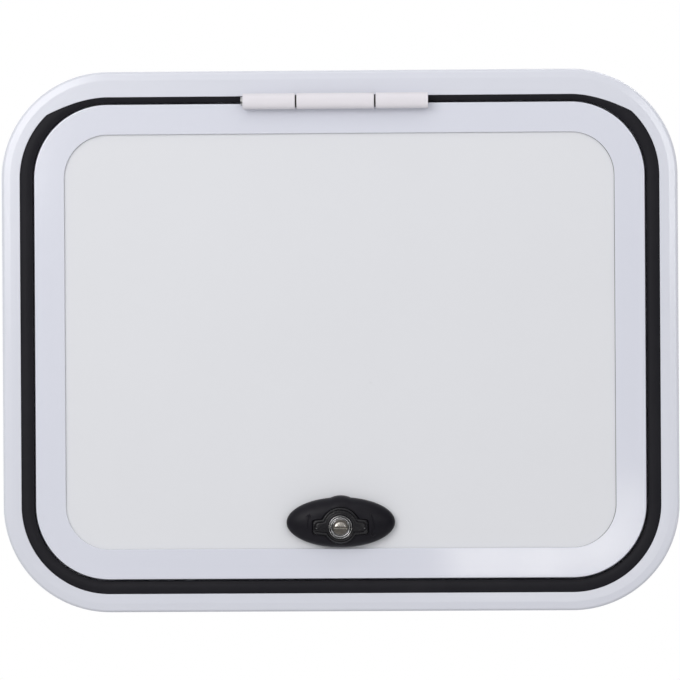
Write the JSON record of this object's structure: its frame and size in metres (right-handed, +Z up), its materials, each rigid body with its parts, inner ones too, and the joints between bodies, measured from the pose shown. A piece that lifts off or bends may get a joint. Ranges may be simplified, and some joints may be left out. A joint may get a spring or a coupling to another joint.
{
  "type": "access door",
  "caption": "Top-hinged access door for a caravan wall: white flanged frame with rounded corners, black seals, sandwich leaf, external hinge and oval turn lock.",
  "frame": {"origin": "on the back face of the flange, where it meets the wall, halfway across the bottom rail and on the door's centre line", "axes": "+Z up, +X to the right seen from outside, +Y into the wall, so the outside of the door faces -Y"},
  "size_m": [0.5, 0.0543, 0.4],
  "materials": {
    "frame_coat": "satin white coating with a cool tone",
    "rim_coat": "satin white coating with a cool tone",
    "skin_coat": "smooth satin white",
    "hinge_coat": "smooth white, slightly warmer",
    "seal_rubber": "matt black",
    "black_plastic": "fine-grained black with a soft sheen",
    "foam": "closed-cell foam",
    "chrome": "polished",
    "plug_metal": "nickel-plated, lightly worn",
    "pin_steel": "bright drawn rod",
    "zinc": "zinc-plated"
  },
  "bodies": {
    "frame": {"frame_ring": "frame_coat", "flange_seal": "seal_rubber", "stop_seal": "seal_rubber", "hinge_knuckle_left": "hinge_coat", "hinge_knuckle_right": "hinge_coat", "hinge_pin": "pin_steel", "hinge_washer_left": "black_plastic", "hinge_washer_right": "black_plastic"},
    "leaf": {"leaf_rim": "rim_coat", "outer_skin": "skin_coat", "foam_core": "foam", "inner_skin": "skin_coat", "hinge_knuckle_middle": "hinge_coat", "lock_housing": "black_plastic", "lock_insert": "black_plastic", "lock_gasket": "seal_rubber", "lock_barrel": "chrome", "lock_washer": "zinc", "lock_nut": "zinc"},
    "lock": {"key_plug": "plug_metal", "key_shutter": "plug_metal", "cam": "zinc", "cam_washer": "zinc", "cam_screw": "zinc"}
  },
  "joints": [
    {"name": "leaf_hinge", "type": "hinge", "parent": "frame", "child": "leaf", "pos_m": [-0.002, -0.0127, 0.3679], "axis": [-1, 0, 0], "range_deg": [0, 170]},
    {"name": "lock_turn", "type": "hinge", "parent": "leaf", "child": "lock", "pos_m": [0, -0.01, 0.0538], "axis": [0, 1, 0], "range_deg": [0, 90]}
  ]
}
